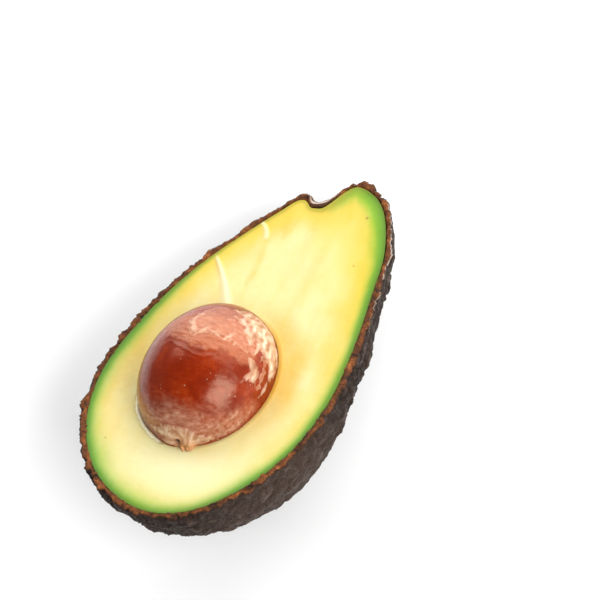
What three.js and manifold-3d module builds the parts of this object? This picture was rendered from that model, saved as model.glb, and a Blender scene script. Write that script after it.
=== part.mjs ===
// Half of a fresh avocado, cut lengthwise through the stem pit, with its seed still in place.
// It lies on its rounded back with the cut face up. Millimetres, +Z up, neck towards +Y.
//
// Three pieces come apart on a bench: the pebbled skin, the flesh and the seed.
// Each is built in the frame of the cut face: the origin is the seed's centre, X runs across
// the fruit, Y runs towards the neck, and the cut face is the plane z = 0.
import * as THREE from "three";
import { mergeVertices } from "three/addons/utils/BufferGeometryUtils.js";
import Module from "manifold-3d";

// ---- Driving dimensions, in millimetres and degrees ----

// The fruit's outline in the cut face. Each rib joins a right-hand point to a left-hand point.
const BLOSSOM_END = [-0.8, -40.4];
const NECK_END = [14.6, 64.9];
const RIBS = [
  { right: [9.5, -38.2], left: [-11.2, -37.5] },
  { right: [19.7, -30.4], left: [-21.1, -29.8] },
  { right: [28.2, -18.2], left: [-27.9, -17.3] },
  { right: [32.9, -3.0], left: [-29.7, -3.0] },
  { right: [33.8, 13.0], left: [-26.2, 13.0] },
  { right: [32.9, 30.0], left: [-19.1, 30.0] },
  { right: [31.2, 46.0], left: [-8.3, 46.0] },
  { right: [24.5, 60.3], left: [2.1, 57.9] },
];

// The fruit is round across each rib: its depth is the rib's half width times a share that
// swells at the belly and falls off at both ends. Places run from 0, blossom end, to 1, neck.
const BELLY_SWELL = { share: 0.13, place: 0.38, spread: 0.18 };
const NECK_SWELL = { share: -0.1, place: 0.86, spread: 0.2 };
const BLOSSOM_SWELL = { share: -0.08, place: 0.0, spread: 0.14 };

const SKIN_THICKNESS = 1.7;
const FLESH_GAP = 0.3; // between the skin and the flesh

// The pit that the stem left, sunk into the end of the neck along its own axis.
const PIT = { mouth: [9.0, 61.5], inward: [-0.03, -1.0], radius: 6.3, depth: 7.0 };

// The seed is an egg, given by its half sizes and by how far it is turned in the cut face.
// Its wide end faces the blossom end and carries a small nub.
const SEED = { across: 16.4, along: 19.7, deep: 16.2, turn: -7, taper: 0.04 };
const SEED_NUB = { height: 0.9, radius: 3.2 };
const SEED_GAP = 0.4; // between the seed and its hollow in the flesh

// How the half settles on its back: its neck dips, it leans to one side, and a small flat
// spot is pressed into the lowest place.
const NECK_DIP = 17;
const SIDE_LEAN = -1;
const FLAT_SPOT_DEPTH = 0.35;

// ---- Facets ----

const RIB_STEPS = 5; // between one rib and the next
const NECK_STEPS = 12; // between the last rib and the neck's end, round the pit
const ROUND_STEPS = 48; // round the whole fruit
const SEED_STEPS = 40;
const SEED_RINGS = 22;

const BLOCK_SIZE = 400; // of a cutting block, several times the fruit's length
const SLOPE_STEP = 1e-3; // share of the fruit over which a surface's direction is taken
const MERGE_WITHIN = 1e-3; // vertices this close become one

// ---- Solids ----

const wasm = await Module();
wasm.setup();

// A closed geometry as a solid that can be cut and joined.
function solidFrom(geometry) {
  const bare = geometry.clone();
  bare.deleteAttribute("normal");
  bare.deleteAttribute("uv");
  const merged = mergeVertices(bare, MERGE_WITHIN);
  const vertProperties = merged.attributes.position.array;
  const triVerts = new Uint32Array(merged.index.array);
  return new wasm.Manifold(new wasm.Mesh({ numProp: 3, vertProperties, triVerts }));
}

function geometryFrom(solid) {
  const mesh = solid.getMesh();
  const geometry = new THREE.BufferGeometry();
  geometry.setAttribute("position", new THREE.BufferAttribute(mesh.vertProperties, 3));
  geometry.setIndex(new THREE.BufferAttribute(mesh.triVerts, 1));
  geometry.computeVertexNormals();
  return geometry;
}

// ---- The whole fruit ----

// One smooth closed line: up the right-hand side, over the neck and down the left-hand side.
const outlinePoints = [
  BLOSSOM_END,
  ...RIBS.map((rib) => rib.right),
  NECK_END,
  ...RIBS.map((rib) => rib.left).reverse(),
];
const outline = new THREE.CatmullRomCurve3(
  outlinePoints.map(([x, y]) => new THREE.Vector3(x, y, 0)),
  true,
  "centripetal",
);

const swell = ({ share, place, spread }, here) => share * Math.exp(-(((here - place) / spread) ** 2));

// A point of the fruit before its pit: along runs from the blossom end to the neck, and turn
// runs once round the fruit, from the right-hand side over the back.
function plumpPoint(along, turn) {
  const right = outline.getPoint(along / 2);
  const left = outline.getPoint(1 - along / 2);
  const halfWidth = right.clone().sub(left).multiplyScalar(0.5);
  const roundness =
    1 + swell(BELLY_SWELL, along) + swell(NECK_SWELL, along) + swell(BLOSSOM_SWELL, along);
  const depth = halfWidth.length() * roundness * Math.sin(turn);
  return left.add(halfWidth).addScaledVector(halfWidth, Math.cos(turn)).setZ(-depth);
}

// The outward direction there, square to two short steps along the surface.
function plumpNormal(along, turn) {
  const step = SLOPE_STEP;
  const here = THREE.MathUtils.clamp(along, 2 * step, 1 - 2 * step);
  const lengthwise = plumpPoint(here + step, turn).sub(plumpPoint(here - step, turn));
  const crosswise = plumpPoint(here, turn + step).sub(plumpPoint(here, turn - step));
  return crosswise.cross(lengthwise).normalize();
}

// Sinks a point of the neck into the stem pit, along the pit's axis only.
function sinkIntoPit(point) {
  const inward = new THREE.Vector3(...PIT.inward, 0).normalize();
  const fromMouth = point.clone().sub(new THREE.Vector3(...PIT.mouth, 0));
  const deep = fromMouth.dot(inward);
  const aside = fromMouth.addScaledVector(inward, -deep).length() / PIT.radius;
  if (aside >= 1 || deep > PIT.radius) return point;
  return point.addScaledVector(inward, (PIT.depth * (1 + Math.cos(Math.PI * aside))) / 2);
}

// Where the rings of facets lie along the fruit: evenly between ribs, and closer at the neck.
function ringPlaces() {
  const places = [];
  for (let stretch = 0; stretch <= RIBS.length; stretch++) {
    const steps = stretch === RIBS.length ? NECK_STEPS : RIB_STEPS;
    for (let step = 0; step < steps; step++) {
      places.push((stretch + step / steps) / (RIBS.length + 1));
    }
  }
  return places.slice(1);
}

// The whole fruit as a closed surface, moved in by inset all over.
function wholeFruit(inset) {
  const pointAt = (along, turn) =>
    sinkIntoPit(plumpPoint(along, turn).addScaledVector(plumpNormal(along, turn), -inset));
  const places = ringPlaces();
  const positions = [...pointAt(0, Math.PI / 2)];
  for (const along of places) {
    for (let step = 0; step < ROUND_STEPS; step++) {
      positions.push(...pointAt(along, (2 * Math.PI * step) / ROUND_STEPS));
    }
  }
  positions.push(...pointAt(1, Math.PI / 2));
  return solidFrom(stackedRings(positions, places.length, ROUND_STEPS));
}

// A closed surface from a first point, rings of points one behind the other, and a last point.
function stackedRings(positions, rings, steps) {
  const index = [];
  const last = 1 + rings * steps;
  for (let step = 0; step < steps; step++) {
    const next = (step + 1) % steps;
    index.push(0, 1 + next, 1 + step);
    for (let ring = 0; ring < rings - 1; ring++) {
      const [near, far] = [1 + ring * steps, 1 + (ring + 1) * steps];
      index.push(near + step, near + next, far + step);
      index.push(near + next, far + next, far + step);
    }
    index.push(last - steps + step, last - steps + next, last);
  }
  const geometry = new THREE.BufferGeometry();
  geometry.setAttribute("position", new THREE.Float32BufferAttribute(positions, 3));
  geometry.setIndex(index);
  return geometry;
}

// ---- The cut face and the flat spot ----

const settle = new THREE.Euler(
  THREE.MathUtils.degToRad(-NECK_DIP),
  THREE.MathUtils.degToRad(SIDE_LEAN),
  0,
);
const settled = new THREE.Matrix4().makeRotationFromEuler(settle);

function blockBelow(level) {
  const block = new THREE.BoxGeometry(BLOCK_SIZE, BLOCK_SIZE, BLOCK_SIZE);
  return block.translate(0, 0, level - BLOCK_SIZE / 2);
}

// What stays when the fruit is halved: everything behind the cut face.
const behindCutFace = () => solidFrom(blockBelow(0));

// Everything under the flat spot, which is level once the half has settled.
function underFlatSpot(fruit) {
  const geometry = geometryFrom(fruit).applyMatrix4(settled);
  geometry.computeBoundingBox();
  const block = blockBelow(geometry.boundingBox.min.z + FLAT_SPOT_DEPTH);
  return solidFrom(block.applyMatrix4(settled.clone().invert()));
}

// ---- The seed ----

// An egg turned on the fruit's length, with its nub at the wide end, swollen by gap all over.
function egg(gap) {
  const profile = [];
  for (let ring = 0; ring <= SEED_RINGS; ring++) {
    const angle = (Math.PI * ring) / SEED_RINGS;
    const [along, aside] = [-Math.cos(angle), Math.sin(angle)];
    const radius = (SEED.across + gap) * aside * (1 - SEED.taper * along);
    const nub = along < 0 ? SEED_NUB.height * Math.exp(-((radius / SEED_NUB.radius) ** 2)) : 0;
    profile.push(new THREE.Vector2(radius, (SEED.along + gap) * along - nub));
  }
  const lathe = new THREE.LatheGeometry(profile, SEED_STEPS);
  lathe.scale(1, 1, (SEED.deep + gap) / (SEED.across + gap));
  return lathe.rotateZ(THREE.MathUtils.degToRad(SEED.turn));
}

// ---- The three pieces ----

function piece(name, solid, look) {
  const mesh = new THREE.Mesh(geometryFrom(solid), new THREE.MeshStandardMaterial(look));
  mesh.name = name;
  return mesh;
}

function skin() {
  const outside = wholeFruit(0);
  const shell = outside.subtract(wholeFruit(SKIN_THICKNESS));
  const half = shell.intersect(behindCutFace()).subtract(underFlatSpot(outside));
  return piece("skin", half, { color: 0x33211c, roughness: 0.62, metalness: 0 });
}

function flesh() {
  const half = wholeFruit(SKIN_THICKNESS + FLESH_GAP).intersect(behindCutFace());
  const hollow = solidFrom(egg(SEED_GAP));
  return piece("flesh", half.subtract(hollow), { color: 0xf7f0a8, roughness: 0.45, metalness: 0 });
}

function seed() {
  const solid = solidFrom(egg(0));
  return piece("seed", solid, { color: 0x96401c, roughness: 0.35, metalness: 0 });
}

// The half settled on its back, stood on the origin with its box centred over it.
const half = new THREE.Group().add(skin(), flesh(), seed());
half.rotation.copy(settle);
const box = new THREE.Box3().setFromObject(half, true);
const middle = box.getCenter(new THREE.Vector3());
half.position.set(-middle.x, -middle.y, -box.min.z);

const avocado = new THREE.Group().add(half);
avocado.name = "avocado_half";

export default avocado;
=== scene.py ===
# %% [markdown]
# # Half an avocado with its seed
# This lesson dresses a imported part: half a fresh avocado, cut lengthwise, lying on its back.
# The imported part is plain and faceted, but its sizes are right. Each step below surveys one
# piece of it with rays, rebuilds that piece as a fine mesh in the same place, and finishes it.

# %% Load the frame
import math

import bmesh
import bpy
import numpy as np
from mathutils import Matrix, Vector, noise
from mathutils.bvhtree import BVHTree


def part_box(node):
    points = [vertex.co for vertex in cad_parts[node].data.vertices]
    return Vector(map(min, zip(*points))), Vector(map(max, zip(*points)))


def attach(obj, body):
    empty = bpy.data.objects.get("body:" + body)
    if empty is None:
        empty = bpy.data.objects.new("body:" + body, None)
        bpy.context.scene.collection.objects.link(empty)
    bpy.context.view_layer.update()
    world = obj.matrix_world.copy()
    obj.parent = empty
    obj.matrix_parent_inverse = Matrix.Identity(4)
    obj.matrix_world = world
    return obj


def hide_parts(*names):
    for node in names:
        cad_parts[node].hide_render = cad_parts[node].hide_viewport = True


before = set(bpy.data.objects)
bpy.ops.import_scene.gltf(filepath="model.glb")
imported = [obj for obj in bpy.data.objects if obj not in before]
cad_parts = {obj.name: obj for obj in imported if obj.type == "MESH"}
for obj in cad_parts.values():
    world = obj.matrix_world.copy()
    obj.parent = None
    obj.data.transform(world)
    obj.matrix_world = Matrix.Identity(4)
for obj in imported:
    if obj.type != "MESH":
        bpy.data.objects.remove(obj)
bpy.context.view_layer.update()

BODY = "root"
MM = 0.001

# %% [markdown]
# ## The frame of the cut face
# The fruit lies with its neck dipped, so world axes are awkward to think in. A cook thinks in
# the cut face: across it, along it towards the neck, and up out of it, with the seed's middle
# as the centre. That frame could be typed in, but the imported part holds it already: the cut
# face is the largest flat face of the flesh. All shaping below is done in this frame, in
# millimetres, and each piece is turned into world metres only when its mesh is made.

# %% Find the cut face
def largest_flat(node):
    face = max(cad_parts[node].data.polygons, key=lambda polygon: polygon.area)
    return face.center.copy(), face.normal.copy()


on_cut, up = largest_flat("flesh")
neckward = up.cross(Vector((1, 0, 0))).normalized()
across = neckward.cross(up)
seed_low, seed_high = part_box("seed")
seed_middle = (seed_low + seed_high) / 2
seed_middle -= up * (seed_middle - on_cut).dot(up)
AXES = np.array([across, neckward, up])
CENTRE = np.array(seed_middle)


def to_fruit(points):
    return (np.asarray(points) - CENTRE) @ AXES.T / MM


def to_world(points):
    return CENTRE + MM * np.asarray(points) @ AXES


print("the cut face tips", round(math.degrees(math.acos(up.z)), 1), "degrees off level")

# %% [markdown]
# ## Surveying a piece with rays
# Every surface of this fruit can be seen from the seed's middle, so one number says where it
# is: how far out it lies in a given direction. A survey is a table of those distances, by
# azimuth round the cut face and by dip away from it. A subdivision modifier could smooth the
# facets instead, but it would shrink them. A table blurred by about one facet gives back the
# smooth shape that the facets stand for, and can be read at any point.

# %% Aim and survey
AZIMUTHS = 720
DIPS = 121
FAR = 200.0  # outside everything, in millimetres
RIM_DIP = math.radians(0.4)  # just off the cut face, so that a ray meets the side, not the edge


def tree_of(node):
    """The node as something rays can hit, in the frame of the cut face."""
    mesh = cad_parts[node].data
    corners = to_fruit([vertex.co for vertex in mesh.vertices])
    faces = [tuple(polygon.vertices) for polygon in mesh.polygons]
    return BVHTree.FromPolygons([Vector(corner) for corner in corners], faces)


def directions(azimuth, dip, side):
    azimuth, dip = np.broadcast_arrays(azimuth, dip)
    flat = np.cos(dip)
    return np.stack([np.cos(azimuth) * flat, np.sin(azimuth) * flat, side * np.sin(dip)], axis=-1)


def survey(node, side=-1, from_outside=True):
    """How far out the node lies below (side -1) or above (side 1) the cut face."""
    tree = tree_of(node)
    azimuth = np.linspace(0, 2 * np.pi, AZIMUTHS, endpoint=False)
    dip = np.maximum(np.linspace(0, np.pi / 2, DIPS), RIM_DIP)
    table = np.zeros((AZIMUTHS, DIPS))
    for row, way in enumerate(directions(azimuth[:, None], dip[None, :], side)):
        for column, ray in enumerate(way):
            ray = Vector(ray)
            if from_outside:
                hit = tree.ray_cast(ray * FAR, -ray)[0]
            else:
                hit = tree.ray_cast(Vector((0, 0, 0)), ray)[0]
            table[row, column] = hit.length
    return table


# %% Smooth and read a survey
# Where the stem tore away one lip of its pit has a lobe, and the wall below it is steeper:
# turn round the cut face and spread, in degrees, and how far the edge moves out.
NECK_TEARS = [(88.0, 2.0, 0.7), (83.6, 1.3, -0.8), (79.4, 1.9, -1.0)]
TEAR_DIP = 9.0  # degrees below the cut face over which a tear dies away
SKIN_BLUR, SEED_BLUR = 2.0, 5.0  # in samples


def blurred(table, spread):
    """The table, blurred by a bell curve of that many samples, round the fruit and over its pole."""
    reach = int(3 * spread)
    weights = np.exp(-0.5 * (np.arange(-reach, reach + 1) / spread) ** 2)
    weights /= weights.sum()
    opposite = np.roll(table, AZIMUTHS // 2, axis=0)
    tall = np.hstack([table[:, reach:0:-1], table, opposite[:, -2 : -reach - 2 : -1]])
    tall = np.apply_along_axis(np.convolve, 1, tall, weights, "valid")
    wide = np.vstack([tall[-reach:], tall, tall[:reach]])
    return np.apply_along_axis(np.convolve, 0, wide, weights, "valid")


def torn_neck(table):
    azimuth = np.degrees(np.linspace(0, 2 * np.pi, AZIMUTHS, endpoint=False))[:, None]
    dip = np.linspace(0, 90, DIPS)[None, :]
    for turn, spread, push in NECK_TEARS:
        table = table + push * np.exp(-(((azimuth - turn) / spread) ** 2) - (dip / TEAR_DIP) ** 2)
    return table


def read(table, azimuth, share):
    """The table between its samples. Share runs from 0 in the cut face to 1 at the pole."""
    column = np.asarray(azimuth) / (2 * np.pi) % 1 * AZIMUTHS
    row = np.clip(share, 0, 1) * (table.shape[1] - 1)
    left = np.floor(column).astype(int) % AZIMUTHS
    low = np.minimum(np.floor(row).astype(int), table.shape[1] - 2)
    u, v = column - np.floor(column), row - low
    right = (left + 1) % AZIMUTHS
    near = table[left, low] * (1 - v) + table[left, low + 1] * v
    far = table[right, low] * (1 - v) + table[right, low + 1] * v
    return near * (1 - u) + far * u


skin_out = torn_neck(blurred(survey("skin"), SKIN_BLUR))
skin_in = torn_neck(blurred(survey("skin", from_outside=False), SKIN_BLUR))
flesh_out = torn_neck(blurred(survey("flesh"), SKIN_BLUR))
seed_below = blurred(survey("seed"), SEED_BLUR)
seed_above = blurred(survey("seed", side=1), SEED_BLUR)
print("skin reaches", round(skin_out.max(), 1), "mm from the seed's middle")

# %% [markdown]
# ## Sheets of even rings
# A dome made like a globe wastes its faces: they crowd at the pole. A sheet whose rings have
# eight more points than the last, like the rings of a square grid, keeps its faces nearly the
# same size everywhere. Two tables spread it evenly over the fruit: one shares out the rim's
# length, the other shares out the way from the rim to the pole.

# %% Spread points evenly
def even_azimuths(table, share):
    """The azimuths that lie at each share of the rim's length."""
    azimuth = np.linspace(0, 2 * np.pi, 4 * AZIMUTHS + 1)
    rim = read(table, azimuth, 0)[:, None] * np.stack([np.cos(azimuth), np.sin(azimuth)], axis=-1)
    run = np.concatenate([[0], np.cumsum(np.linalg.norm(np.diff(rim, axis=0), axis=1))])
    return np.interp(np.asarray(share) * run[-1], run, azimuth)


def even_dips(table):
    """For each azimuth, the dip (as a share of 90 degrees) at even steps down the side."""
    dip = np.linspace(0, np.pi / 2, DIPS)
    shares = np.linspace(0, 1, DIPS)
    even = np.zeros_like(table)
    for row, reach in enumerate(table):
        side = np.stack([reach * np.cos(dip), reach * np.sin(dip)], axis=-1)
        run = np.concatenate([[0], np.cumsum(np.linalg.norm(np.diff(side, axis=0), axis=1))])
        even[row] = np.interp(shares * run[-1], run, dip / (np.pi / 2))
    return even


def surface(table, dips, azimuth, share, side=-1):
    """Points at a share of the way from the rim (0) to the pole (1)."""
    dip_share = read(dips, azimuth, share)
    reach = read(table, azimuth, dip_share)
    return directions(azimuth, dip_share * np.pi / 2, side) * np.asarray(reach)[..., None]


def rings_to_pole(table, dips, azimuth, rows):
    """The rings of points between the rim and the pole, for that many rows of faces."""
    return [
        surface(table, dips, azimuth, np.full(len(azimuth), row / rows)) for row in range(1, rows)
    ]


def pole_of(table, dips):
    return surface(table, dips, np.array([0.0]), np.array([1.0]))


# %% Join points into faces
def square_rings(rings):
    """Each point's share of the way out and round, the quads, and where each ring starts."""
    out, around, starts = [0.0], [0.0], [0]
    for ring in range(1, rings + 1):
        starts.append(len(out))
        out += [ring / rings] * (8 * ring)
        around += [step / (8 * ring) for step in range(8 * ring)]
    quads = []
    for ring in range(1, rings + 1):
        inner, outer = starts[ring - 1], starts[ring]
        for side in range(4):
            first, inner_first = side * 2 * ring, side * 2 * (ring - 1)
            before = outer + (first - 1) % (8 * ring)
            quads.append((outer + first, outer + first + 1, inner + inner_first, before))
            for step in range(1, 2 * ring - 1):
                following = outer + (first + step + 1) % (8 * ring)
                opposite = inner + (inner_first + step) % (8 * (ring - 1))
                quads.append((outer + first + step, following, opposite, inner + inner_first + step - 1))
    return np.array(out), np.array(around), quads, starts


def vertex_normals(points, quads):
    """Outward normals of an open sheet."""
    quads = np.array(quads)
    a, b, c, d = (points[quads[:, corner]] for corner in range(4))
    face = np.cross(c - a, d - b)
    total = np.zeros_like(points)
    for corner in range(4):
        np.add.at(total, quads[:, corner], face)
    total /= np.linalg.norm(total, axis=1)[:, None]
    return total * np.sign((total * points).sum(axis=1))[:, None]


def ring_bands(first_ring, rows, row_start):
    """Quads that join rings of equal length: a first ring of indices, then rows from row_start."""
    count = len(first_ring)
    rings = [list(first_ring)] + [
        list(range(row_start + row * count, row_start + (row + 1) * count)) for row in range(rows)
    ]
    quads = []
    for near, far in zip(rings, rings[1:]):
        quads += [(near[i - 1], near[i], far[i], far[i - 1]) for i in range(count)]
    return quads, rings[-1]


def fan(ring, tip):
    """Triangles that close a ring on its tip."""
    return [(ring[i - 1], ring[i], tip) for i in range(len(ring))]


# %% [markdown]
# ## From points to an object
# Each piece is a closed mesh that rides on the fruit's only body. Numbers that the finishes
# need, such as how far a point is from the skin, are stored on the vertices as attributes. A
# painted texture would do as well, but attributes need no unwrapping.

# %% Make a piece
def make_piece(name, points, faces, attributes, node):
    mesh = bpy.data.meshes.new(name)
    world = to_world(points)
    world[:, 2] = np.maximum(world[:, 2], 0.0)  # nothing sinks into what the half rests on
    mesh.from_pydata(world.tolist(), [], faces)
    work = bmesh.new()
    work.from_mesh(mesh)
    bmesh.ops.recalc_face_normals(work, faces=work.faces)
    work.to_mesh(mesh)
    work.free()
    for label, values in attributes.items():
        layer = mesh.attributes.new(label, "FLOAT", "POINT")
        layer.data.foreach_set("value", np.asarray(values, dtype=np.float32))
    mesh.shade_smooth()
    piece = bpy.data.objects.new(name, mesh)
    bpy.context.scene.collection.objects.link(piece)
    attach(piece, BODY)
    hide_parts(node)
    triangles = sum(len(polygon.vertices) - 2 for polygon in mesh.polygons)
    print(name, "has", len(mesh.vertices), "points and", triangles, "triangles")
    return piece


def padded(values, points, filler=0.0):
    """The values of the first points, with a filler for the points that follow."""
    return np.concatenate([values, np.full(len(points) - len(values), filler)])


# %% [markdown]
# ## Noise to shape with
# Living surfaces are uneven at several sizes at once. These helpers read Blender's own noise
# at many points. Wandering is smooth and swells both ways. Pebbles are packed cells: each has
# a height of its own, a rounded top and a groove round it, and the cells are bent before use
# so that no straight groove gives them away.

# %% Noise helpers
def wander(points, size, octaves=1, shift=0.0):
    """Smooth noise between about -1 and 1, with swellings of that size in millimetres."""
    offset = Vector((shift, 1.7 * shift, -shift))
    places = np.asarray(points) / size
    if octaves == 1:
        return np.array([noise.noise(Vector(place) + offset) for place in places])
    return np.array([noise.fractal(Vector(place) + offset, 1.0, 2.0, octaves) for place in places])


def pebble_cells(points, size, groove, shift=0.0):
    """Height from 0 in the grooves to at most 1 on a pebble; groove is a share of its size."""
    offset = Vector((shift, -shift, 2.3 * shift))
    height = np.zeros(len(points))
    for index, place in enumerate(np.asarray(points) / size):
        gaps, centres = noise.voronoi(Vector(place) + offset)
        inside = min(max((gaps[1] - gaps[0]) / groove, 0.0), 1.0)
        own = 0.68 + 0.55 * noise.noise(centres[0] * 7.3)
        height[index] = inside * (2 - inside) * own
    return height


def smoothstep(low, high, value):
    t = np.clip((np.asarray(value) - low) / (high - low), 0, 1)
    return t * t * (3 - 2 * t)


def bell(value, middle, spread):
    return np.exp(-(((value - middle) / spread) ** 2))


# %% [markdown]
# ## Where the stem was
# The knife went through the little pit that the stem left in the neck. Its place could be
# typed in, but the survey shows it too: it is where the rim falls furthest below its own
# blurred self.

# %% Find the stem pit
PIT_BLUR = 24  # samples
PIT_REACH = 4.4  # millimetres from the pit's floor to where its lining ends

rim_azimuth = np.linspace(0, 2 * np.pi, AZIMUTHS, endpoint=False)
rim_reach = skin_out[:, 0]
thrice_round = np.tile(rim_reach, 3)  # so that the blur runs on over the seam
soft_reach = np.convolve(thrice_round, np.ones(PIT_BLUR) / PIT_BLUR, "same")[AZIMUTHS : 2 * AZIMUTHS]
pit_row = int(np.argmax(soft_reach - rim_reach))
PIT = rim_reach[pit_row] * np.array([np.cos(rim_azimuth[pit_row]), np.sin(rim_azimuth[pit_row]), 0])


def in_pit(points):
    return bell(np.linalg.norm(points - PIT, axis=1), 0, PIT_REACH)


print("the pit's floor is at", PIT.round(1), "mm from the seed's middle")

# %% [markdown]
# ## The outside of the skin
# The peel is leathery and pebbled with bumps 2 to 4 mm across, on top of slow swellings and
# fine wrinkles that run lengthwise. A bump in the material would look flat along the outline,
# so the pebbles are real: an even sheet is pushed in and out along its normals.

# %% Pebble the skin
BIG_PEBBLE, SMALL_PEBBLE = 3.5, 1.7  # millimetres across
BIG_HEIGHT, SMALL_HEIGHT, CRINKLE_HEIGHT, SWELL_HEIGHT = 0.95, 0.30, 0.40, 0.85
CREASE_DEPTH, SUNK = 0.45, 0.40
# Where the belly faces the light on the right, a sheen is painted into the skin's colour; its pebbles
# are a little lower there too.
PAINTED_SHEEN_TURN, PAINTED_SHEEN_DIP, PAINTED_SHEEN_SPREAD = math.radians(-38), math.radians(24), 0.2


def painted_sheen_place(points):
    """1 on the side of the belly where the pebbles are low and a sheen of light is painted into the
    skin's colour.
    """
    ways = points / np.linalg.norm(points, axis=1)[:, None]
    return bell(1 - ways @ directions(PAINTED_SHEEN_TURN, PAINTED_SHEEN_DIP, -1), 0, PAINTED_SHEEN_SPREAD)


def pebbled(points):
    """Height of the pebbled surface in millimetres, and a pebble's own height from 0 to 1."""
    warp = np.stack([wander(points, 3.2, octaves=2, shift=s) for s in (3.1, 7.7, 12.9)], axis=-1)
    bent = points + 1.5 * warp
    big = pebble_cells(bent * [1.0, 0.72, 1.0], BIG_PEBBLE, groove=0.62)
    small = pebble_cells(bent + 0.5 * warp, SMALL_PEBBLE, groove=0.7, shift=5.0)
    crease = 1 - np.abs(wander(bent * [1.0, 0.4, 1.0], 2.6, octaves=3, shift=1.0))
    swell = wander(points, 6.5, octaves=2, shift=2.0)
    crinkle = np.abs(wander(bent * [1.0, 0.5, 1.0], 1.1, octaves=2, shift=6.0))
    strength = (0.85 + 0.5 * wander(points, 12.0, shift=9.0)) * (1 - 0.1 * painted_sheen_place(points))
    height = BIG_HEIGHT * big + SMALL_HEIGHT * small
    height += CRINKLE_HEIGHT * crinkle - CREASE_DEPTH * crease**3
    return strength * height + SWELL_HEIGHT * swell - SUNK, 0.62 * big + 0.38 * small


# %% [markdown]
# ## The cut edge of the skin
# Where the knife cut the peel, its edge is a ragged, granular crust: knobbly outside, bitten
# inside, thinner at the neck. A solidify modifier would leave it clean and even. Here the
# edge and the inside are rings that carry on from the sheet's rim, so each can be roughened
# and the piece stays one closed mesh.

# %% Rough edges
KNOB_HEIGHT, BITE_DEPTH, NECK_THINNING = 0.75, 0.7, 0.35  # millimetres
CUT_ROWS = 7  # rows of faces over the cut edge


def pushed_out(points, push):
    """The points, moved away from the seed's middle by a push in millimetres."""
    return points * (1 + push / np.linalg.norm(points, axis=1))[:, None]


def rough_edges(edge, azimuth):
    """The outer and inner edge of the cut through the skin."""
    inner = directions(azimuth, 0 * azimuth, -1) * read(skin_in, azimuth, 0)[:, None]
    bites = np.maximum(wander(inner, 1.7, octaves=3, shift=4.0), -0.15)
    inner = pushed_out(inner, NECK_THINNING * smoothstep(35, 58, inner[:, 1]) - BITE_DEPTH * bites)
    knobs = KNOB_HEIGHT * wander(edge, 2.6, octaves=2, shift=13.0) * (1 - in_pit(edge))
    edge = pushed_out(edge, knobs)
    edge[:, 2] = -0.15 + 0.2 * wander(edge, 1.1, octaves=2, shift=8.0)
    return edge, inner


def crust_rows(edge, inner):
    """Rows of points over the cut, from its outer edge to its inner one."""
    rows = []
    for share in np.arange(1, CUT_ROWS + 1) / CUT_ROWS:
        row = edge * (1 - share) + inner * share
        crumbs = 0.24 * wander(row, 0.9, octaves=3, shift=6.0) * math.sin(math.pi * min(share, 0.8))
        row[:, 2] = 0.22 * math.sin(math.pi * share) + crumbs
        rows.append(row)
    return rows


# %% Shape the skin
SKIN_RINGS = 140
INSIDE_ROWS = 9


def shape_skin():
    out, around, quads, starts = square_rings(SKIN_RINGS)
    azimuth = even_azimuths(skin_out, around)
    base = surface(skin_out, even_dips(skin_out), azimuth, 1 - out)
    height, pebble = pebbled(base)
    height = height * (1 - 0.7 * in_pit(base))
    outside = base + vertex_normals(base, quads) * height[:, None]

    rim = np.arange(starts[-1], len(outside))
    edge, inner = rough_edges(outside[rim], azimuth[rim])
    outside[rim] = edge
    inside_dips = even_dips(skin_in)
    inside = rings_to_pole(skin_in, inside_dips, azimuth[rim], INSIDE_ROWS)
    points = np.vstack([outside, *crust_rows(edge, inner), *inside, pole_of(skin_in, inside_dips)])
    bands, last = ring_bands(rim, CUT_ROWS + INSIDE_ROWS - 1, len(outside))

    share_over = np.repeat(np.arange(1, CUT_ROWS + 1) / CUT_ROWS, len(rim))
    on_rim = np.where(out > 1 - 0.5 / SKIN_RINGS, 0.6, 0.0)
    attributes = {
        "cut": padded(on_rim, points, 1.0),
        "over_cut": padded(np.concatenate([np.zeros(len(outside)), share_over]), points, 1.0),
        "pebble": padded(pebble, points, 0.5),
        "pit": in_pit(points),
        "satin": painted_sheen_place(points),
        "neck_mm": points[:, 1],
    }
    faces = quads + bands + fan(last, len(points) - 1)
    return make_piece("peel", points, faces, attributes, "skin")


peel = shape_skin()

# %% [markdown]
# ## The cut face of the flesh
# A knife that turns in the cut leaves faint facets with a ridge between them, soft pulp is
# never quite flat, and a pale lip of pulp stands up beside the wide end of the seed. A sculpted
# face would do, but masks are easier to move: each is a number from 0 to 1 over the face.
#
# The green next to the skin is wide on some sides of the fruit and narrow on others. A short
# list says how wide, by the turn round the cut face in degrees, from across towards the neck.

# %% Marks on the cut face
# Knife ridges, each from one end to the other, with its half width at both ends and its height.
RIDGES = [
    {"ends": ((-12.3, 35.8), (-3.4, 21.0)), "half_widths": (0.45, 1.6), "height": 0.4},
    {"ends": ((-4.6, 48.2), (-1.6, 43.2)), "half_widths": (0.5, 0.9), "height": 0.2},
]
# Turn in degrees, width of the solid green, width of the fade, and how olive it is.
GREEN_EDGE = [
    (20, 0.7, 3.8, 0.05),
    (45, 0.9, 4.4, 0.0),
    (56, 1.3, 5.6, 0.0),
    (64, 2.0, 7.5, 0.0),
    (72, 2.4, 7.0, 0.05),
    (76, 1.6, 5.5, 0.3),
    (79, 0.5, 3.4, 0.8),
    (84, 0.3, 2.4, 1.0),
    (92, 0.2, 2.8, 0.9),
    (103, 0.1, 2.8, 0.7),
    (122, 0.5, 4.0, 0.15),
    (150, 1.1, 4.6, 0.0),
    (180, 1.0, 4.8, 0.0),
    (205, 0.7, 4.4, 0.0),
    (235, 0.7, 6.4, 0.0),
    (262, 0.6, 7.0, 0.05),
    (285, 0.4, 4.8, 0.1),
    (310, 0.7, 4.4, 0.0),
    (340, 0.7, 3.8, 0.0),
]
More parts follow.
